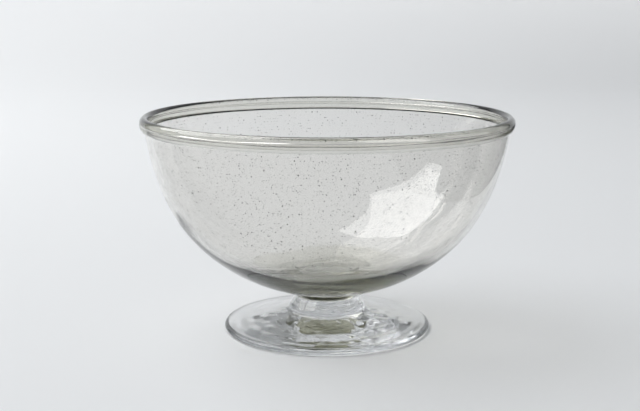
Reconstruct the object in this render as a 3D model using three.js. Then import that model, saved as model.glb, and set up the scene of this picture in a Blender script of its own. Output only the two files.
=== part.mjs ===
// A footed dessert cup of hand-blown glass: a seeded, faintly tinted bowl with a rolled rim,
// carried by a tinted collar, a clear knop and a clear disc foot.
// Millimetres, +Z up. The origin is on the table, in the middle of the ring that the foot rests on.
import * as THREE from "three";

// The whole cup
const RIM_DIAMETER = 130; // across the outside of the rolled rim
const CUP_HEIGHT = 76.5; // from the table to the top of the rim

// Rolled rim: the lip turned outwards and laid back on the wall
const ROLL_HEIGHT = 5; // from the crease under the roll to its top
const ROLL_PROUD = 1.8; // how far the roll stands out from the wall

// Bowl
const WALL_THICKNESS = 1.9; // where the wall goes into the roll
const BASE_THICKNESS = 7; // round the edge of the collar
const BASE_TAPER = 3.9; // power by which the thick base thins out into the wall
const FLOOR_DIAMETER = 24.1; // of the dished floor, where the inside of the wall ends
const FLOOR_DIP = 1; // of the middle of the floor below its edge
const UNDERSIDE_SLOPE = 13.5; // degrees above level, where the underside leaves the collar
const UNDERSIDE_PULL = 20; // how far the underside keeps near that slope
const WALL_LEAN = 7.7; // degrees out of upright, just under the roll
const WALL_PULL = 43.4; // how far down the wall keeps near that lean

// Collar: the short cone of tinted glass that joins the bowl to the stem
const COLLAR_DIAMETER = 21.2; // at its top, under the bowl
const COLLAR_HEIGHT = 1.45;
const COLLAR_NARROWING = 1; // how much smaller its radius is at the knop

// Knop: the clear bead that flares out into the foot
const KNOP_HEIGHT = 6.55;
const KNOP_SEAT_DIAMETER = 36.6; // where its flare ends on the foot
const SEAT_SLOPE = 16; // degrees above level, where the flare leaves the foot
const SEAT_PULL = 2.4; // how far the flare keeps near that slope
const WAIST_DIAMETER = 27; // where the flare stands upright
const WAIST_HEIGHT = 2.3; // of that circle above the seat
const WAIST_PULL = 1.4; // how far down the waist keeps upright
const SHOULDER_PULL = 1; // how far up the waist keeps upright
const NECK_DIAMETER = 21.6; // at the top, under the collar
const NECK_SLOPE = 57; // degrees below level, where the shoulder leaves the neck
const NECK_PULL = 2.8; // how far the shoulder keeps near that slope

// Foot
const FOOT_DIAMETER = 73.3;
const FOOT_EDGE_HEIGHT = 2.3; // of the rounded edge
const FOOT_EDGE_ROUND = 1.8; // radial depth of the rounded edge
const FOOT_RISE = 2.8; // from the top of the edge to the knop's seat
const FOOT_SAG = 0.4; // dip of the top face below a straight cone
const REST_RING_WIDTH = 6; // of the flat ring that touches the table
const FOOT_HOLLOW = 0.25; // rise of the underside inside that ring

// Facets
const SIDES = 48; // round the axis
const CURVE_STEPS = 12; // along the bowl's long curve
const BEND_STEPS = 6; // along each small bend

// Levels and radii that the pieces share
const footTop = FOOT_EDGE_HEIGHT + FOOT_RISE;
const knopTop = footTop + KNOP_HEIGHT;
const bowlSeat = knopTop + COLLAR_HEIGHT;
const rollSeat = CUP_HEIGHT - ROLL_HEIGHT;
const knopSeatRadius = KNOP_SEAT_DIAMETER / 2;
const collarRadius = COLLAR_DIAMETER / 2;
const wallRadius = RIM_DIAMETER / 2 - ROLL_PROUD;
const lipRadius = wallRadius - WALL_THICKNESS;
const floorRadius = FLOOR_DIAMETER / 2;
const lean = THREE.MathUtils.degToRad(WALL_LEAN);

const point = (radius, height) => new THREE.Vector2(radius, height);

// The point that lies a distance away from another, in a direction in degrees above level.
function away(from, distance, degrees) {
  const angle = THREE.MathUtils.degToRad(degrees);
  return point(from.x + distance * Math.cos(angle), from.y + distance * Math.sin(angle));
}

// Points along a part of an ellipse, between two angles in degrees above level.
function bend(centre, radial, upright, from, to) {
  const start = THREE.MathUtils.degToRad(from);
  const end = THREE.MathUtils.degToRad(to);
  return new THREE.EllipseCurve(centre.x, centre.y, radial, upright, start, end).getPoints(BEND_STEPS);
}

// A solid turned about +Z. Its outline runs outwards along the underside, up the outside and back
// inwards along the top.
function turned(name, outline, material) {
  const geometry = new THREE.LatheGeometry(outline, SIDES);
  geometry.rotateX(Math.PI / 2);
  const mesh = new THREE.Mesh(geometry, material);
  mesh.name = name;
  return mesh;
}

const seededGlass = new THREE.MeshStandardMaterial({
  color: 0xc4c6c0,
  roughness: 0.05,
  metalness: 0,
  transparent: true,
  opacity: 0.4,
});

const clearGlass = new THREE.MeshStandardMaterial({
  color: 0xdde2e5,
  roughness: 0.03,
  metalness: 0,
  transparent: true,
  opacity: 0.35,
});

// A flat disc below, a rounded edge, and a top that falls in a shallow dip from the knop's seat.
// The underside is hollowed inside the ring that touches the table.
function foot() {
  const restOuter = FOOT_DIAMETER / 2 - FOOT_EDGE_ROUND;
  const restInner = restOuter - REST_RING_WIDTH;
  const hollow = new THREE.QuadraticBezierCurve(
    point(0, FOOT_HOLLOW),
    point(restInner / 2, FOOT_HOLLOW),
    point(restInner, 0),
  );
  const edge = bend(point(restOuter, FOOT_EDGE_HEIGHT / 2), FOOT_EDGE_ROUND, FOOT_EDGE_HEIGHT / 2, -90, 90);
  const edgeTop = point(restOuter, FOOT_EDGE_HEIGHT);
  const seat = point(knopSeatRadius, footTop);
  const middle = edgeTop.clone().lerp(seat, 1 / 2);
  const top = new THREE.QuadraticBezierCurve(edgeTop, point(middle.x, middle.y - 2 * FOOT_SAG), seat);
  const outline = [
    ...hollow.getPoints(BEND_STEPS),
    ...edge,
    ...top.getPoints(BEND_STEPS).slice(1),
    point(0, footTop),
  ];
  return turned("foot", outline, clearGlass);
}

// A hollow flare from the foot up to the waist, and a full shoulder from there to the neck.
function knop() {
  const seat = point(knopSeatRadius, footTop);
  const waist = point(WAIST_DIAMETER / 2, footTop + WAIST_HEIGHT);
  const neck = point(NECK_DIAMETER / 2, knopTop);
  const flare = new THREE.CubicBezierCurve(
    seat,
    away(seat, SEAT_PULL, 180 - SEAT_SLOPE),
    away(waist, WAIST_PULL, -90),
    waist,
  );
  const shoulder = new THREE.CubicBezierCurve(
    waist,
    away(waist, SHOULDER_PULL, 90),
    away(neck, NECK_PULL, -NECK_SLOPE),
    neck,
  );
  const outline = [
    point(0, footTop),
    ...flare.getPoints(BEND_STEPS),
    ...shoulder.getPoints(BEND_STEPS).slice(1),
    point(0, knopTop),
  ];
  return turned("stem_knop", outline, clearGlass);
}

// A short cone that narrows towards the knop.
function collar() {
  const outline = [
    point(0, knopTop),
    point(collarRadius - COLLAR_NARROWING, knopTop),
    point(collarRadius, bowlSeat),
    point(0, bowlSeat),
  ];
  return turned("collar", outline, seededGlass);
}

// The outside is one curve from the collar to the roll. The inside lies from there towards the middle
// of the mouth, by the wall's thickness, which grows to the base's thickness at the collar. It ends at
// the edge of the floor, which is a shallow dish.
function bowl() {
  const seat = point(collarRadius, bowlSeat);
  const lip = point(wallRadius, rollSeat);
  const outside = new THREE.CubicBezierCurve(
    seat,
    away(seat, UNDERSIDE_PULL, UNDERSIDE_SLOPE),
    away(lip, WALL_PULL, -90 - WALL_LEAN),
    lip,
  ).getPoints(CURVE_STEPS);
  const mouth = point(0, rollSeat);
  const inside = outside.map((p, i) => {
    const taper = (1 - i / CURVE_STEPS) ** BASE_TAPER;
    const thickness = WALL_THICKNESS + (BASE_THICKNESS - WALL_THICKNESS) * taper;
    return p.clone().add(mouth.clone().sub(p).setLength(thickness));
  });
  const beyond = Math.max(1, inside.findIndex((p) => p.x > floorRadius));
  const near = inside[beyond - 1];
  const far = inside[beyond];
  const floorEdge = near.clone().lerp(far, (floorRadius - near.x) / (far.x - near.x));
  const dish = new THREE.QuadraticBezierCurve(
    floorEdge,
    point(floorRadius / 2, floorEdge.y - FLOOR_DIP),
    point(0, floorEdge.y - FLOOR_DIP),
  );
  const outline = [
    point(0, bowlSeat),
    ...outside,
    ...inside.slice(beyond).reverse(),
    ...dish.getPoints(BEND_STEPS),
  ];
  return turned("bowl", outline, seededGlass);
}

// An egg-shaped ring: it swells outwards from the crease, rounds over the top and meets the inside of
// the wall in line.
function rolledRim() {
  const centre = point(wallRadius, rollSeat + ROLL_HEIGHT / 2);
  const innerRadius = lipRadius + (ROLL_HEIGHT / 2) * Math.tan(lean);
  const outline = [
    point(lipRadius, rollSeat),
    ...bend(centre, ROLL_PROUD, ROLL_HEIGHT / 2, -90, 90),
    ...bend(centre, wallRadius - innerRadius, ROLL_HEIGHT / 2, 90, 180).slice(1),
    point(lipRadius, rollSeat),
  ];
  return turned("rolled_rim", outline, seededGlass);
}

const cup = new THREE.Group();
cup.add(foot(), knop(), collar(), bowl(), rolledRim());

export default cup;
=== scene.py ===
"""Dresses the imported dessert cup: five pieces of blown glass on pale paper, in soft window light."""

import math

import bpy
import numpy as np
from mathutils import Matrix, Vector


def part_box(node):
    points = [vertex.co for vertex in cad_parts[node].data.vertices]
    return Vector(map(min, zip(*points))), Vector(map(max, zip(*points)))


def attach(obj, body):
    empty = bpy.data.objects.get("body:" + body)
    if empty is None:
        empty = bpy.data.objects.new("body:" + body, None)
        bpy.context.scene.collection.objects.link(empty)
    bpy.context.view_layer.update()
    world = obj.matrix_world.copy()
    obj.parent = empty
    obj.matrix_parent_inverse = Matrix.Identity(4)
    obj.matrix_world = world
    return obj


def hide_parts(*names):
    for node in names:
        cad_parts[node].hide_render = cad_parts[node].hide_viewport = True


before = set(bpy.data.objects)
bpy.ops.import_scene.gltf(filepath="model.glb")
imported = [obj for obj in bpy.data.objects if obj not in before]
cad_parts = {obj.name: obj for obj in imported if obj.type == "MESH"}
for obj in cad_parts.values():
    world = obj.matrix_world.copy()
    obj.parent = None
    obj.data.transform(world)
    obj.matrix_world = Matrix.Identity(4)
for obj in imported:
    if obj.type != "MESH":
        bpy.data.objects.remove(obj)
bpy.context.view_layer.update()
MM = 0.001

# Sizes that the frame gives, in metres
FOOT_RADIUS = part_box("foot")[1][0]
FOOT_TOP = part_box("foot")[1][2]
KNOP_SEAT_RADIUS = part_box("stem_knop")[1][0]
KNOP_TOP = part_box("stem_knop")[1][2]
COLLAR_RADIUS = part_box("collar")[1][0]
BOWL_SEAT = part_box("bowl")[0][2]
WALL_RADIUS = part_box("bowl")[1][0]
ROLL_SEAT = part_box("rolled_rim")[0][2]
RIM_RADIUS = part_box("rolled_rim")[1][0]
CUP_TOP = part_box("rolled_rim")[1][2]

# Shape of the bowl's wall and rim
WALL_THICKNESS = 1.9 * MM
BASE_THICKNESS = 7.0 * MM
BASE_TAPER = 3.9
FLOOR_RADIUS = 12.05 * MM
FLOOR_DIP = 1.0 * MM
UNDERSIDE_SLOPE = math.radians(13.5)
UNDERSIDE_PULL = 20.0 * MM
WALL_LEAN = math.radians(7.7)
WALL_PULL = 43.4 * MM

# Shape of the stem and foot
COLLAR_NARROWING = 1.0 * MM
NECK_RADIUS = 10.8 * MM
NECK_SLOPE = math.radians(57)
NECK_PULL = 2.8 * MM
SHOULDER_PULL = 1.0 * MM
WAIST_RADIUS = 13.5 * MM
WAIST_HEIGHT = 2.3 * MM
WAIST_PULL = 1.4 * MM
SEAT_SLOPE = math.radians(16)
SEAT_PULL = 2.4 * MM
FOOT_EDGE_HEIGHT = 2.3 * MM
FOOT_EDGE_ROUND = 1.8 * MM
FOOT_SAG = 0.4 * MM
REST_RING_WIDTH = 6.0 * MM
FOOT_HOLLOW = 0.28 * MM

# Fineness of the surfaces
SIDES = 216
LONG_STEPS = 110
BEND_STEPS = 20
JOINT_STEPS = 6
SHORT_STEPS = 4
LIP_STEPS = 2
CORE_STEPS = 8
SWEEP_STEPS = 40
SHARP_ANGLE = math.radians(50)
FUSED_GAP = 0.01 * MM

# Seeds, which are small bubbles in the tinted glass
SEED_COUNT = 8500
RIM_SEED_COUNT = 900
SEED_RADIUS = 0.115 * MM
SEED_SPREAD = 0.40
LARGEST_SEED = 0.30 * MM
SEED_ROOM = 0.18  # largest share of the glass's thickness that a seed's radius takes
SEED_SCATTER = 0.3  # share of the thickness by which it may lie off the middle

# Line of air that the fold shuts in the rolled rim
AIR_LINE_OUT = 0.15 * MM
AIR_LINE_HALF_WIDTH = 0.25 * MM
AIR_LINE_HALF_HEIGHT = 0.40 * MM

# Unevenness left by blowing: depth, number of terms, fewest and most waves round, and length along
WALL_WAVES = (0.05 * MM, 40, (1, 9), 45 * MM)
UNDER_WAVES = (0.06 * MM, 60, (2, 22), 9 * MM)
TOP_WAVES = (0.06 * MM, 30, (1, 8), 14 * MM)
AIR_LINE_WAVES = (0.08 * MM, 12, (1, 14), 40 * MM)

# Stretches over which the unevenness grows from nothing
FADE_UNDER_RIM = 6 * MM
FADE_PAST_BASE = 8 * MM
FADE_UNDER_FOOT = 3 * MM
FADE_ON_FOOT = 2 * MM

# Ring marks left by the tools: depth, distance from ring to ring, and place of the first
UNDER_RINGS = (0.04 * MM, 4.85 * MM, 1.28)
TOP_RINGS = (0.022 * MM, 4.03 * MM, 5.29)

# Ridge round the floor of the bowl
RIDGE_HEIGHT = 0.5 * MM
RIDGE_RADIUS = 10.6 * MM
RIDGE_WIDTH = 0.8 * MM

# The darker glass of the bowl's base ends at this radius
BASE_RADIUS = 28.0 * MM
CONE_WAY = np.array([0.5, 1])  # outwards and up, off the cone where the wall begins

# Glass: the share of light that passes each face, and the colour and strength of the tint in its depth
SEEDED_COLOUR = (0.940, 0.930, 0.915)
SPECK_COLOUR = (0.66, 0.66, 0.65)
CLEAR_COLOUR = (0.955, 0.958, 0.96)
SEED_COLOUR = (0.16, 0.16, 0.15)
WALL_TINT = ((0.25, 0.25, 0.05), 10.0)
THICK_TINT = ((0.25, 0.25, 0.05), 56.0)
CLEAR_TINT = ((0.20, 0.25, 0.30), 4.5)
GLASS_IOR = 1.5
SEED_IOR = 1.01

# Skin of the glass: cell of the finest specks, their largest share of it, and the fire finish
SPECK_CELL = 1.3 * MM
SPECK_SHARE = 0.15
SKIN_WAVE = 3.5 * MM
SKIN_DEPTH = 0.010 * MM
SKIN_DETAIL = 2.0
SKIN_ROUGHNESS = 0.04

# Photograph's view: the camera looks along +Y and a little down
FRAME_WIDTH = 640
FOCAL_PIXELS = 1150
SENSOR_WIDTH = 36.0
CAMERA_PLACE = (-2.47 * MM, -400 * MM, 121 * MM)
CAMERA_PITCH = math.radians(10.91)

# Set: pale paper under and behind the cup, a dark card on the right, one window high on the left and
# a dim room
PAPER_COLOUR = (0.81, 0.815, 0.82)
PAPER_ROUGHNESS = 0.9
PAPER_SHINE = 0.1
PAPER_DROP = 0.05 * MM
# Painted light on the sweep behind the cup: a glow of its own, brighter towards the right and growing with
# height
BACKDROP_GLOW = 0.12
BACKDROP_TILT = 0.12
BACKDROP_REACH = 0.6
BACKDROP_RAMP = 0.10
FLOOR_FRONT = -1.8
FLOOR_HALF_WIDTH = 1.8
SWEEP_START = 0.9
SWEEP_RADIUS = 0.7
SWEEP_TOP = 1.7
SWEEP_HALF_WIDTH = 1.1
DARK_CARD_CORNERS = [(0.095, -0.1), (0.25, -0.6), (1.8, -0.6), (1.8, 0.9), (0.395, 0.9)]
DARK_CARD_RISE = 0.2 * MM
DARK_CARD_COLOUR = (0.06, 0.06, 0.06)
WINDOW_CORNERS = [
    (170, 22), (182, 24), (190, 34), (200, 43), (210, 49),
    (217, 54), (207, 61), (198, 65), (186, 69), (174, 73),
    (110, 73), (116, 62), (124, 55), (126, 48), (120, 42),
    (130, 35), (136, 26), (150, 23), (156, 28), (164, 29),
]
WINDOW_SEEN_FROM = (30 * MM, 45 * MM, 45 * MM)
WINDOW_DISTANCE = 1.6
WINDOW_STRENGTH = 4.1
WINDOW_COLOUR = (0.98, 0.99, 1.0)
ROOM_COLOUR = (0.93, 0.97, 1.0)
ROOM_POWER = 1.3
ROOM_EVEN = 0.40
ROOM_BACK = 0.20
ROOM_LEFT = 0.10
ROOM_LEAST = 0.05
ROOM_FLOOR = 0.10
ROOM_BELOW = 0.45

# Kinds of face, the material of each and whether light meets glass there
GLASS, FUSED, SEED, BASE, BASE_FUSED = range(5)
MATERIAL_OF = np.array([0, 0, 1, 2, 2], np.int32)
OPEN = np.array([1, 0, 1, 1, 0], np.float32)


def bezier(p0, p1, p2, p3, steps):
    """Cubic curve: (1-t)^3 p0 + 3t(1-t)^2 p1 + 3t^2(1-t) p2 + t^3 p3, with t from 0 to 1."""
    t = np.linspace(0, 1, steps + 1)[:, None]
    p0, p1, p2, p3 = (np.asarray(p, float) for p in (p0, p1, p2, p3))
    return (1 - t) ** 3 * p0 + 3 * t * (1 - t) ** 2 * p1 + 3 * t * t * (1 - t) * p2 + t ** 3 * p3


def bend(centre, radial, upright, start, end, steps=BEND_STEPS):
    """Part of an ellipse: centre + (radial cos a, upright sin a), with a between two angles in degrees."""
    a = np.radians(np.linspace(start, end, steps + 1))
    return np.column_stack([centre[0] + radial * np.cos(a), centre[1] + upright * np.sin(a)])


def straight(start, end, steps):
    """Evenly spaced points from start to end."""
    t = np.linspace(0, 1, steps + 1)[:, None]
    return (1 - t) * np.asarray(start, float) + t * np.asarray(end, float)


def bowl_outside():
    """One cubic curve from the collar's edge to the crease under the roll."""
    seat = np.array([COLLAR_RADIUS, BOWL_SEAT])
    lip = np.array([WALL_RADIUS, ROLL_SEAT])
    away = seat + UNDERSIDE_PULL * np.array([math.cos(UNDERSIDE_SLOPE), math.sin(UNDERSIDE_SLOPE)])
    back = lip - WALL_PULL * np.array([math.sin(WALL_LEAN), math.cos(WALL_LEAN)])
    return bezier(seat, away, back, lip, LONG_STEPS)


def bowl_thickness():
    """Wall thickness along the outside: wall + (base - wall) (1-t)^taper."""
    t = np.linspace(0, 1, LONG_STEPS + 1)
    return WALL_THICKNESS + (BASE_THICKNESS - WALL_THICKNESS) * (1 - t) ** BASE_TAPER


def towards_mouth(points, distance):
    """Points moved by a distance towards the middle of the mouth."""
    way = np.array([0, ROLL_SEAT]) - points
    return points + distance[:, None] * way / np.linalg.norm(way, axis=1)[:, None]


def outline(*stretches):
    """Joins stretches of (points, slot) end to end, and gives the points and the slot of each band."""
    points = [stretches[0][0][:1]]
    slots = []
    for stretch, slot in stretches:
        points.append(stretch[1:])
        slots += [slot] * (len(stretch) - 1)
    return np.vstack(points), np.array(slots)


def waves(rng, along, kind):
    """Low waves over a turned surface: the sum of cos(m a + 2 pi k s / length + phase) over a few terms,
    with a round the axis, s along the outline, and m and k chosen at random. Gives circles by sides."""
    depth, terms, (fewest, most), length = kind
    a = np.linspace(0, 2 * np.pi, SIDES, endpoint=False)
    m = rng.integers(fewest, most + 1, terms)
    k = rng.normal(0, 1, terms)
    phase = rng.uniform(0, 2 * np.pi, terms)
    turn = m[:, None, None] * a[None, None, :] + 2 * np.pi * k[:, None, None] * along[None, :, None] / length
    return depth * np.cos(turn + phase[:, None, None]).sum(0) / math.sqrt(terms / 2)


def rings(radius, marks):
    """Ring marks: depth cos(2 pi r / spacing + phase)."""
    depth, spacing, phase = marks
    return depth * np.cos(2 * np.pi * radius / spacing + phase)


def distance_along(points):
    """Distance of each point of an outline from its start."""
    return np.concatenate([[0], np.cumsum(np.hypot(*np.diff(points, axis=0).T))])


def mesh_from(name, verts, faces, slots):
    """A mesh of quads and triangles. A triangle has -1 as its last corner. The kind of each face gives
    its material and the value of open_face, which is 0 where two pieces are fused."""
    mesh = bpy.data.meshes.new(name)
    corners = (faces >= 0).sum(1)
    mesh.vertices.add(len(verts))
    mesh.vertices.foreach_set("co", verts.astype(np.float32).ravel())
    mesh.loops.add(int(corners.sum()))
    mesh.loops.foreach_set("vertex_index", faces[faces >= 0].astype(np.int32))
    mesh.polygons.add(len(faces))
    mesh.polygons.foreach_set("loop_start", np.concatenate([[0], np.cumsum(corners)[:-1]]).astype(np.int32))
    mesh.polygons.foreach_set("material_index", MATERIAL_OF[slots])
    open_face = mesh.attributes.new("open_face", "FLOAT", "FACE")
    open_face.data.foreach_set("value", OPEN[slots])
    mesh.polygons.foreach_set("use_smooth", np.ones(len(faces), bool))
    mesh.update(calc_edges=True)
    mesh.validate()
    mesh.set_sharp_from_angle(angle=SHARP_ANGLE)
    return mesh


def turned(points, slots, shift=None):
    """Turns an outline about Z: x = r cos a, y = r sin a, z = h. A shift, given for each circle and side,
    moves the surface along the outline's own normal. An outline that starts and ends on the axis closes
    with a fan at each end, and any other closes on itself. Gives vertices, faces and slots."""
    a = np.linspace(0, 2 * np.pi, SIDES, endpoint=False)
    on_axis = points[0, 0] < 1e-9 and points[-1, 0] < 1e-9
    chosen = slice(1, -1) if on_axis else slice(0, -1)
    circles = points[chosen]
    count = len(circles)
    radius = np.repeat(circles[:, :1], SIDES, 1)
    height = np.repeat(circles[:, 1:], SIDES, 1)
    if shift is not None:
        way = np.gradient(points, axis=0)
        way /= np.linalg.norm(way, axis=1)[:, None]
        radius = radius + shift[chosen] * way[chosen, 1:]
        height = height - shift[chosen] * way[chosen, :1]
    grid = np.empty((count, SIDES, 3))
    grid[..., 0] = radius * np.cos(a)
    grid[..., 1] = radius * np.sin(a)
    grid[..., 2] = height
    verts = grid.reshape(-1, 3)
    row = np.arange(count - 1 if on_axis else count)[:, None]
    col = np.arange(SIDES)[None]
    here, above = row * SIDES, (row + 1) % count * SIDES
    right = (col + 1) % SIDES
    faces = np.stack([here + col, here + right, above + right, above + col], -1).reshape(-1, 4)
    face_slots = np.repeat(slots[1:-1] if on_axis else slots, SIDES)
    if on_axis:
        low, high = len(verts), len(verts) + 1
        verts = np.vstack([verts, [0, 0, points[0, 1]], [0, 0, points[-1, 1]]])
        ring, blank = np.arange(SIDES), np.full(SIDES, -1)
        after, last = (ring + 1) % SIDES, (count - 1) * SIDES
        fan_low = np.stack([after, ring, np.full(SIDES, low), blank], -1)
        fan_high = np.stack([last + ring, last + after, np.full(SIDES, high), blank], -1)
        faces = np.vstack([faces, fan_low, fan_high])
        face_slots = np.concatenate([face_slots, np.repeat(slots[[0, -1]], SIDES)])
    return verts, faces, face_slots


def seeds(rng, count, middle, room):
    """Small bubbles: 8-sided balls with faces turned to the hollow. Each sits on an outline of middles,
    chosen by the length of the circle there, at a random angle, and off the middle by up to a share of
    the room that the glass leaves there."""
    ball = np.vstack([np.eye(3), -np.eye(3)])
    trio = np.array([
        (0, 2, 1), (1, 2, 3), (3, 2, 4), (4, 2, 0),
        (0, 1, 5), (1, 3, 5), (3, 4, 5), (4, 0, 5),
    ])
    weight = middle[:, 0] * np.gradient(distance_along(middle))
    which = rng.choice(len(middle), count, p=weight / weight.sum())
    size = np.minimum(SEED_RADIUS * np.exp(rng.normal(0, SEED_SPREAD, count)), LARGEST_SEED)
    size = np.minimum(size, SEED_ROOM * room[which])
    way = np.gradient(middle, axis=0)
    way /= np.linalg.norm(way, axis=1)[:, None]
    normal = np.column_stack([way[:, 1], -way[:, 0]])[which]
    off = room[which] * rng.uniform(-SEED_SCATTER, SEED_SCATTER, count)
    place = middle[which] + normal * off[:, None]
    a = rng.uniform(0, 2 * np.pi, count)
    centre = np.column_stack([place[:, 0] * np.cos(a), place[:, 0] * np.sin(a), place[:, 1]])
    verts = (centre[:, None] + ball[None] * size[:, None, None]).reshape(-1, 3)
    faces = (trio[None] + len(ball) * np.arange(count)[:, None, None]).reshape(-1, 3)
    return verts, np.column_stack([faces, np.full(len(faces), -1)])


def joined(parts, more):
    """Two turned surfaces as one piece."""
    verts, faces, slots = parts
    more_verts, more_faces, more_slots = more
    more_faces = np.where(more_faces >= 0, more_faces + len(verts), -1)
    return np.vstack([verts, more_verts]), np.vstack([faces, more_faces]), np.concatenate([slots, more_slots])


def with_seeds(parts, bubbles):
    """A turned piece with bubbles in its glass."""
    verts, faces = bubbles
    return joined(parts, (verts, faces, np.full(len(faces), SEED)))


def finish_piece(name, parts, materials, node):
    """Makes one object of the parts, puts its materials on and ties it to the frame."""
    verts, faces, slots = parts
    mesh = mesh_from(name, verts, faces, slots)
    for material in materials:
        mesh.materials.append(material)
    piece = bpy.data.objects.new(name, mesh)
    bpy.context.collection.objects.link(piece)
    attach(piece, "root")
    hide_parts(node)
    return piece


def foot_parts():
    """The foot: a hollowed underside, a resting ring, a rounded edge and a shallow dipped top. Waves and
    ring marks lie on the top and in the hollow, where they only go up from it."""
    rest_outer = FOOT_RADIUS - FOOT_EDGE_ROUND
    rest_inner = rest_outer - REST_RING_WIDTH
    edge_top = np.array([rest_outer, FOOT_EDGE_HEIGHT])
    seat = np.array([KNOP_SEAT_RADIUS, FOOT_TOP])
    dip = (edge_top + seat) / 2 - [0, 2 * FOOT_SAG]
    t = np.linspace(0, 1, BEND_STEPS * 2 + 1)[:, None]
    hollow_mid = np.array([rest_inner / 2, FOOT_HOLLOW])
    hollow = (1 - t) ** 2 * [0, FOOT_HOLLOW] + 2 * t * (1 - t) * hollow_mid + t ** 2 * [rest_inner, 0]
    top = (1 - t) ** 2 * edge_top + 2 * t * (1 - t) * dip + t ** 2 * seat
    fused_seat = straight(seat, [0, FOOT_TOP], JOINT_STEPS)
    fused_seat[1:, 1] -= FUSED_GAP
    points, slots = outline(
        (hollow, GLASS),
        (straight([rest_inner, 0], [rest_outer, 0], JOINT_STEPS), GLASS),
        (bend((rest_outer, FOOT_EDGE_HEIGHT / 2), FOOT_EDGE_ROUND, FOOT_EDGE_HEIGHT / 2, -90, 90), GLASS),
        (top, GLASS),
        (fused_seat, FUSED),
    )
    along = distance_along(points)
    r = points[:, 0]
    order = np.arange(len(points))
    under = np.clip((rest_inner - r) / FADE_UNDER_FOOT, 0, 1) * (order < len(hollow))
    over = np.clip((r - KNOP_SEAT_RADIUS) / FADE_ON_FOOT, 0, 1)
    over *= np.clip((rest_outer - r) / FADE_ON_FOOT, 0, 1)
    over *= order >= len(hollow) + JOINT_STEPS + BEND_STEPS
    rng = np.random.default_rng(5)
    low = waves(rng, along, UNDER_WAVES) - UNDER_RINGS[0] + rings(r, UNDER_RINGS)[:, None]
    high = waves(rng, along, TOP_WAVES) + rings(r, TOP_RINGS)[:, None]
    return turned(points, slots, np.minimum(under[:, None] * low, 0) + over[:, None] * high)


def knop_parts():
    """The knop: a hollow curve from its seat up to the waist, and a full shoulder from there to the neck."""
    waist = np.array([WAIST_RADIUS, FOOT_TOP + WAIST_HEIGHT])
    seat = np.array([KNOP_SEAT_RADIUS, FOOT_TOP])
    neck = np.array([NECK_RADIUS, KNOP_TOP])
    flare = bezier(
        seat,
        seat + SEAT_PULL * np.array([-math.cos(SEAT_SLOPE), math.sin(SEAT_SLOPE)]),
        waist - [0, WAIST_PULL],
        waist,
        BEND_STEPS * 2,
    )
    shoulder = bezier(
        waist,
        waist + [0, SHOULDER_PULL],
        neck + NECK_PULL * np.array([math.cos(NECK_SLOPE), -math.sin(NECK_SLOPE)]),
        neck,
        BEND_STEPS * 2,
    )
    joint = [COLLAR_RADIUS - COLLAR_NARROWING, KNOP_TOP]
    return turned(*outline(
        (straight([0, FOOT_TOP + FUSED_GAP], seat, JOINT_STEPS), FUSED),
        (flare, GLASS),
        (shoulder, GLASS),
        (straight(neck, joint, LIP_STEPS), GLASS),
        (straight(joint, [0, KNOP_TOP - FUSED_GAP], JOINT_STEPS), FUSED),
    ))


def collar_parts():
    """The collar: a short cone that narrows towards the knop, fused above and below."""
    low = [COLLAR_RADIUS - COLLAR_NARROWING, KNOP_TOP]
    high = [COLLAR_RADIUS, BOWL_SEAT]
    return turned(*outline(
        (straight([0, KNOP_TOP + FUSED_GAP], low, JOINT_STEPS), FUSED),
        (straight(low, high, JOINT_STEPS), GLASS),
        (straight(high, [0, BOWL_SEAT - FUSED_GAP], JOINT_STEPS), FUSED),
    ))


def bowl_parts():
    """The bowl: the outside curve, the inside curve by the wall's thickness, and a dished floor that lies
    deeper by dip (1 - (r / radius)^2) and has a ridge of height exp(-((r - ridge) / width)^2). The base
    and the wall are fused along a cone through the wall, because the base's tint is stronger."""
    outer = bowl_outside()
    inner = towards_mouth(outer, bowl_thickness())
    split = int(np.searchsorted(outer[:, 0], BASE_RADIUS))
    edge = [FLOOR_RADIUS, np.interp(FLOOR_RADIUS, inner[:, 0], inner[:, 1])]
    low = inner[: split + 1]
    low = np.vstack([edge, low[low[:, 0] > FLOOR_RADIUS]])[::-1]
    share = np.linspace(1, 0, BEND_STEPS * 2 + 1)
    ridge = RIDGE_HEIGHT * np.exp(-((FLOOR_RADIUS * share - RIDGE_RADIUS) / RIDGE_WIDTH) ** 2)
    dish = np.column_stack([FLOOR_RADIUS * share, edge[1] - FLOOR_DIP * (1 - share ** 2) + ridge - ridge[0]])
    base = turned(*outline(
        (straight([0, BOWL_SEAT + FUSED_GAP], outer[0], JOINT_STEPS), BASE_FUSED),
        (outer[: split + 1], BASE),
        (straight(outer[split], inner[split], SHORT_STEPS), BASE_FUSED),
        (low, BASE),
        (dish, BASE),
    ))
    gap = FUSED_GAP * CONE_WAY
    points, slots = outline(
        (np.vstack([outer[split] + gap, outer[split + 1:]]), GLASS),
        (straight(outer[-1], inner[-1], LIP_STEPS), FUSED),
        (np.vstack([inner[split + 1:][::-1], inner[split] + gap]), GLASS),
        (straight(inner[split] + gap, outer[split] + gap, SHORT_STEPS), FUSED),
    )
    free = np.clip((ROLL_SEAT - points[:, 1]) / FADE_UNDER_RIM, 0, 1)
    free *= np.clip((points[:, 0] - BASE_RADIUS) / FADE_PAST_BASE, 0, 1)
    rng = np.random.default_rng(3)
    shift = free[:, None] * waves(rng, distance_along(points), WALL_WAVES)
    parts = joined(base, turned(points, slots, shift))
    room = np.linalg.norm(outer - inner, axis=1)
    return with_seeds(parts, seeds(rng, SEED_COUNT, (outer + inner) / 2, room))


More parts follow.
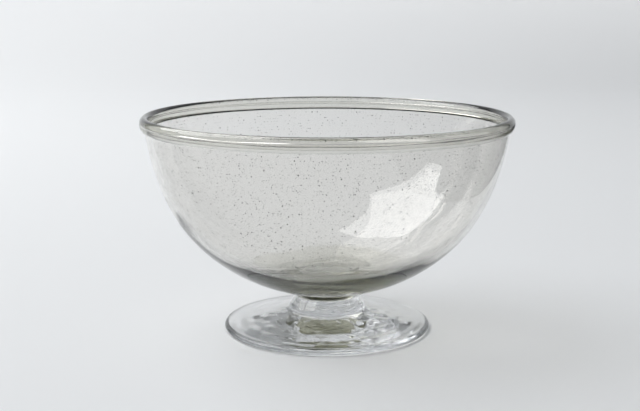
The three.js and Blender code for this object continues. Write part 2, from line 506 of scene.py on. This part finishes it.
def rim_parts():
    """The rolled rim: half an ellipse outwards from the crease to the top, a quarter ellipse back to
    the inside and a straight stretch down to the lip. A line of air runs inside it, with faces turned to
    the air, and seeds lie above that line."""
    middle = (ROLL_SEAT + CUP_TOP) / 2
    half = (CUP_TOP - ROLL_SEAT) / 2
    lip = WALL_RADIUS - WALL_THICKNESS
    inside = lip + half * math.tan(WALL_LEAN)
    seat = ROLL_SEAT + FUSED_GAP
    parts = turned(*outline(
        (straight([lip, seat], [WALL_RADIUS, seat], LIP_STEPS), FUSED),
        (bend((WALL_RADIUS, middle), RIM_RADIUS - WALL_RADIUS, half - FUSED_GAP, -90, 90), GLASS),
        (bend((WALL_RADIUS, middle), WALL_RADIUS - inside, half - FUSED_GAP, 90, 180), GLASS),
        (straight([inside, middle], [lip, seat], SHORT_STEPS), GLASS),
    ))
    rng = np.random.default_rng(7)
    line = bend((WALL_RADIUS + AIR_LINE_OUT, middle), AIR_LINE_HALF_WIDTH, AIR_LINE_HALF_HEIGHT, 360, 0)
    uneven = waves(rng, distance_along(line), AIR_LINE_WAVES)
    parts = joined(parts, turned(line, np.full(len(line) - 1, GLASS), uneven))
    core = straight([WALL_RADIUS, CUP_TOP - half / 2], [WALL_RADIUS, CUP_TOP - half / 4], CORE_STEPS)
    return with_seeds(parts, seeds(rng, RIM_SEED_COUNT, core, np.full(len(core), WALL_RADIUS - inside)))


def node_maths(nodes, links, operation, first, second):
    """A node that works out one sum of two values or sockets. Gives its output."""
    node = nodes.new("ShaderNodeMath")
    node.operation = operation
    for socket, value in zip(node.inputs, (first, second)):
        if isinstance(value, (int, float)):
            socket.default_value = value
        else:
            links.new(value, socket)
    return node.outputs[0]


def new_group(name, outputs):
    """An empty node group with the named outputs. Gives the group, its nodes, its links and its end."""
    group = bpy.data.node_groups.new(name, "ShaderNodeTree")
    for label, kind in outputs:
        group.interface.new_socket(label, in_out="OUTPUT", socket_type=kind)
    return group, group.nodes, group.links, group.nodes.new("NodeGroupOutput")


def skin_group():
    """Fire finish of blown glass: one noise over the surface gives a low bump and the roughness."""
    group, nodes, links, end = new_group("fire_finish", (
        ("Normal", "NodeSocketVector"),
        ("Roughness", "NodeSocketFloat"),
    ))
    coords = nodes.new("ShaderNodeTexCoord")
    noise = nodes.new("ShaderNodeTexNoise")
    noise.inputs["Scale"].default_value = 1 / SKIN_WAVE
    noise.inputs["Detail"].default_value = SKIN_DETAIL
    links.new(coords.outputs["Object"], noise.inputs["Vector"])
    bump = nodes.new("ShaderNodeBump")
    bump.inputs["Distance"].default_value = SKIN_DEPTH
    links.new(noise.outputs["Fac"], bump.inputs["Height"])
    links.new(bump.outputs["Normal"], end.inputs["Normal"])
    rough = node_maths(nodes, links, "MULTIPLY", noise.outputs["Fac"], SKIN_ROUGHNESS)
    links.new(rough, end.inputs["Roughness"])
    return group


def speck_group():
    """Finest specks: in each cell of a random pattern, a ball of random size up to a share of the cell."""
    group, nodes, links, end = new_group("fine_specks", (("Color", "NodeSocketColor"),))
    coords = nodes.new("ShaderNodeTexCoord")
    cells = nodes.new("ShaderNodeTexVoronoi")
    cells.inputs["Scale"].default_value = 1 / SPECK_CELL
    links.new(coords.outputs["Object"], cells.inputs["Vector"])
    chance = nodes.new("ShaderNodeSeparateColor")
    links.new(cells.outputs["Color"], chance.inputs[0])
    radius = node_maths(nodes, links, "MULTIPLY", chance.outputs[0], SPECK_SHARE)
    inside = node_maths(nodes, links, "LESS_THAN", cells.outputs["Distance"], radius)
    mix = nodes.new("ShaderNodeMix")
    mix.data_type = "RGBA"
    mix.inputs[6].default_value = (*SEEDED_COLOUR, 1)
    mix.inputs[7].default_value = (*SPECK_COLOUR, 1)
    links.new(inside, mix.inputs[0])
    links.new(mix.outputs[2], end.inputs["Color"])
    return group


def tint_volume(material, tint):
    """Glass that takes some light away with depth."""
    nodes, links = material.node_tree.nodes, material.node_tree.links
    colour, density = tint
    volume = nodes.new("ShaderNodeVolumeAbsorption")
    volume.inputs["Color"].default_value = (*colour, 1)
    volume.inputs["Density"].default_value = density
    links.new(volume.outputs["Volume"], nodes["Material Output"].inputs["Volume"])


def glass_material(name, colour):
    """Smooth glass. Faces of a fused joint let all light pass."""
    material = bpy.data.materials.new(name)
    material.use_nodes = True
    shader = material.node_tree.nodes["Principled BSDF"]
    shader.inputs["Base Color"].default_value = (*colour, 1)
    shader.inputs["Roughness"].default_value = 0.0
    shader.inputs["IOR"].default_value = GLASS_IOR
    shader.inputs["Transmission Weight"].default_value = 1.0
    face = material.node_tree.nodes.new("ShaderNodeAttribute")
    face.attribute_name = "open_face"
    material.node_tree.links.new(face.outputs["Fac"], shader.inputs["Alpha"])
    return material


def blown_glass(name, colour, tint, skin, specks=None):
    """Tinted glass with a fire finish, and with fine specks if their group is given."""
    material = glass_material(name, colour)
    nodes, links = material.node_tree.nodes, material.node_tree.links
    shader = nodes["Principled BSDF"]
    finish = nodes.new("ShaderNodeGroup")
    finish.node_tree = skin
    links.new(finish.outputs["Normal"], shader.inputs["Normal"])
    links.new(finish.outputs["Roughness"], shader.inputs["Roughness"])
    if specks:
        dots = nodes.new("ShaderNodeGroup")
        dots.node_tree = specks
        links.new(dots.outputs["Color"], shader.inputs["Base Color"])
    tint_volume(material, tint)
    return material


def seed_material(name):
    """The skin of a seed, which turns most light away and so looks dark."""
    material = glass_material(name, SEED_COLOUR)
    material.node_tree.nodes["Principled BSDF"].inputs["IOR"].default_value = SEED_IOR
    return material


def paper_material(name, colour):
    """Plain matt paper."""
    material = bpy.data.materials.new(name)
    material.use_nodes = True
    shader = material.node_tree.nodes["Principled BSDF"]
    shader.inputs["Base Color"].default_value = (*colour, 1)
    shader.inputs["Roughness"].default_value = PAPER_ROUGHNESS
    shader.inputs["Specular IOR Level"].default_value = PAPER_SHINE
    return material


def painted_glow_paper(material):
    """Paper with painted light: a glow of its own stands in for light falling on it from behind. Its glow is
    level + tilt x, with x kept within the reach on either side, and grows with height from nothing at the
    floor to full at the top of the ramp."""
    nodes, links = material.node_tree.nodes, material.node_tree.links
    shader = nodes["Principled BSDF"]
    coords = nodes.new("ShaderNodeTexCoord")
    split = nodes.new("ShaderNodeSeparateXYZ")
    links.new(coords.outputs["Object"], split.inputs[0])
    right = node_maths(nodes, links, "MINIMUM", split.outputs[0], BACKDROP_REACH)
    across = node_maths(nodes, links, "MAXIMUM", right, -BACKDROP_REACH)
    tilt = node_maths(nodes, links, "MULTIPLY", across, BACKDROP_TILT)
    level = node_maths(nodes, links, "ADD", tilt, BACKDROP_GLOW)
    height = node_maths(nodes, links, "MULTIPLY", split.outputs[2], 1 / BACKDROP_RAMP)
    ramp = node_maths(nodes, links, "MINIMUM", node_maths(nodes, links, "MAXIMUM", height, 0.0), 1.0)
    glow = node_maths(nodes, links, "MULTIPLY", level, ramp)
    colour = nodes.new("ShaderNodeCombineColor")
    for socket in colour.inputs:
        links.new(glow, socket)
    links.new(colour.outputs[0], shader.inputs["Emission Color"])
    shader.inputs["Emission Strength"].default_value = 1.0
    return material


def stage_mesh(name, verts, faces, material):
    """A mesh that is part of the set."""
    mesh = bpy.data.meshes.new(name)
    mesh.from_pydata([tuple(v) for v in verts], [], faces)
    mesh.update()
    mesh.materials.append(material)
    set_piece = bpy.data.objects.new(name, mesh)
    bpy.context.collection.objects.link(set_piece)
    return set_piece


def paper():
    """A flat floor, and a narrower sheet that lies on it and sweeps up behind the cup: a profile in Y
    and Z carried along X."""
    floor_paper = paper_material("pale_paper", PAPER_COLOUR)
    sweep_paper = painted_glow_paper(paper_material("painted_glow_paper", PAPER_COLOUR))
    a = np.radians(np.linspace(0, 90, SWEEP_STEPS + 1))
    curve = np.column_stack([SWEEP_START + SWEEP_RADIUS * np.sin(a), SWEEP_RADIUS - SWEEP_RADIUS * np.cos(a)])
    line = np.vstack([curve, [SWEEP_START + SWEEP_RADIUS, SWEEP_TOP]]) - [0, PAPER_DROP]
    n = len(line)
    verts = [(x, y, z) for x in (-SWEEP_HALF_WIDTH, SWEEP_HALF_WIDTH) for y, z in line]
    faces = [(i + 1, i, n + i, n + i + 1) for i in range(n - 1)]
    sheet = stage_mesh("paper_sweep", verts, faces, sweep_paper)
    sheet.data.polygons.foreach_set("use_smooth", np.ones(n - 1, bool))
    w, front, back = FLOOR_HALF_WIDTH, FLOOR_FRONT, SWEEP_START
    corners = [(x, y, -PAPER_DROP) for x, y in ((-w, front), (w, front), (w, back), (-w, back))]
    stage_mesh("paper_floor", corners, [(0, 1, 2, 3)], floor_paper)


def dark_card():
    """A dark card on the floor, just outside the view on the right. Only reflections in the glass show
    it."""
    material = paper_material("dark_card", DARK_CARD_COLOUR)
    verts = [(x, y, DARK_CARD_RISE) for x, y in DARK_CARD_CORNERS]
    card = stage_mesh("dark_card", verts, [tuple(range(len(verts)))], material)
    card.visible_camera = False
    card.visible_diffuse = False
    card.visible_shadow = False
    card.visible_transmission = False


def window():
    """A flat glowing window of a broken outline. Its corners lie on lines from the cup, given by their
    angles round and above it, where these meet a plane that faces the cup."""
    turn, rise = np.radians(np.array(WINDOW_CORNERS, float)).T
    way = np.column_stack([np.cos(rise) * np.cos(turn), np.cos(rise) * np.sin(turn), np.sin(rise)])
    facing = way.mean(0) / np.linalg.norm(way.mean(0))
    verts = np.array(WINDOW_SEEN_FROM) + WINDOW_DISTANCE * way / (way @ facing)[:, None]
    material = bpy.data.materials.new("window_light")
    material.use_nodes = True
    nodes = material.node_tree.nodes
    nodes.clear()
    glow = nodes.new("ShaderNodeEmission")
    glow.inputs["Color"].default_value = (*WINDOW_COLOUR, 1)
    glow.inputs["Strength"].default_value = WINDOW_STRENGTH
    out = nodes.new("ShaderNodeOutputMaterial")
    material.node_tree.links.new(glow.outputs[0], out.inputs["Surface"])
    card = stage_mesh("window", verts, [tuple(range(len(verts)))], material)
    card.visible_camera = False
    return card


def set_world():
    """Dim room: light that grows with a power of the sine of the height, is stronger at the back and on
    the left, and has an even glow below the level of the floor behind the cup."""
    world = bpy.data.worlds.new("room")
    bpy.context.scene.world = world
    world.use_nodes = True
    nodes, links = world.node_tree.nodes, world.node_tree.links
    shade = nodes["Background"]
    shade.inputs["Color"].default_value = (*ROOM_COLOUR, 1)
    coords = nodes.new("ShaderNodeTexCoord")
    split = nodes.new("ShaderNodeSeparateXYZ")
    links.new(coords.outputs["Generated"], split.inputs[0])
    across, forward, height = split.outputs

    def sum_of(operation, first, second):
        return node_maths(nodes, links, operation, first, second)

    up = sum_of("POWER", sum_of("MAXIMUM", height, 0.0), ROOM_POWER)
    back = sum_of("MULTIPLY", forward, ROOM_BACK)
    left = sum_of("MULTIPLY", across, -ROOM_LEFT)
    side = sum_of("ADD", sum_of("ADD", back, left), ROOM_EVEN)
    level = sum_of("MULTIPLY", sum_of("MAXIMUM", side, ROOM_LEAST), up)
    floor = sum_of("LESS_THAN", height, 0.0)
    behind = sum_of("GREATER_THAN", forward, 0.0)
    below = sum_of("MULTIPLY", sum_of("MULTIPLY", floor, behind), ROOM_BELOW)
    low = sum_of("ADD", below, ROOM_FLOOR)
    links.new(sum_of("ADD", level, low), shade.inputs["Strength"])


def set_camera():
    """Camera at the photograph's view."""
    data = bpy.data.cameras.new("view")
    data.sensor_width = SENSOR_WIDTH
    data.lens = SENSOR_WIDTH * FOCAL_PIXELS / FRAME_WIDTH
    data.clip_start = 0.01
    camera = bpy.data.objects.new("view", data)
    camera.location = CAMERA_PLACE
    camera.rotation_euler = (math.pi / 2 - CAMERA_PITCH, 0, 0)
    bpy.context.collection.objects.link(camera)
    bpy.context.scene.camera = camera


set_camera()
set_world()
paper()
dark_card()
window()

skin = skin_group()
specks = speck_group()
seeded = blown_glass("seeded_glass", SEEDED_COLOUR, WALL_TINT, skin, specks)
dark = blown_glass("base_glass", SEEDED_COLOUR, THICK_TINT, skin, specks)
clear = blown_glass("clear_glass", CLEAR_COLOUR, CLEAR_TINT, skin)
seed_skin = seed_material("seed_skin")
finish_piece("cup_foot", foot_parts(), (clear,), "foot")
finish_piece("cup_knop", knop_parts(), (clear,), "stem_knop")
finish_piece("cup_collar", collar_parts(), (dark,), "collar")
finish_piece("cup_bowl", bowl_parts(), (seeded, seed_skin, dark), "bowl")
finish_piece("cup_rim", rim_parts(), (dark, seed_skin), "rolled_rim")

settings = bpy.context.scene
settings.view_settings.view_transform = "Standard"
settings.cycles.blur_glossy = 0.0
settings.cycles.max_bounces = 32
settings.cycles.transmission_bounces = 32
settings.cycles.glossy_bounces = 16
settings.cycles.transparent_max_bounces = 32
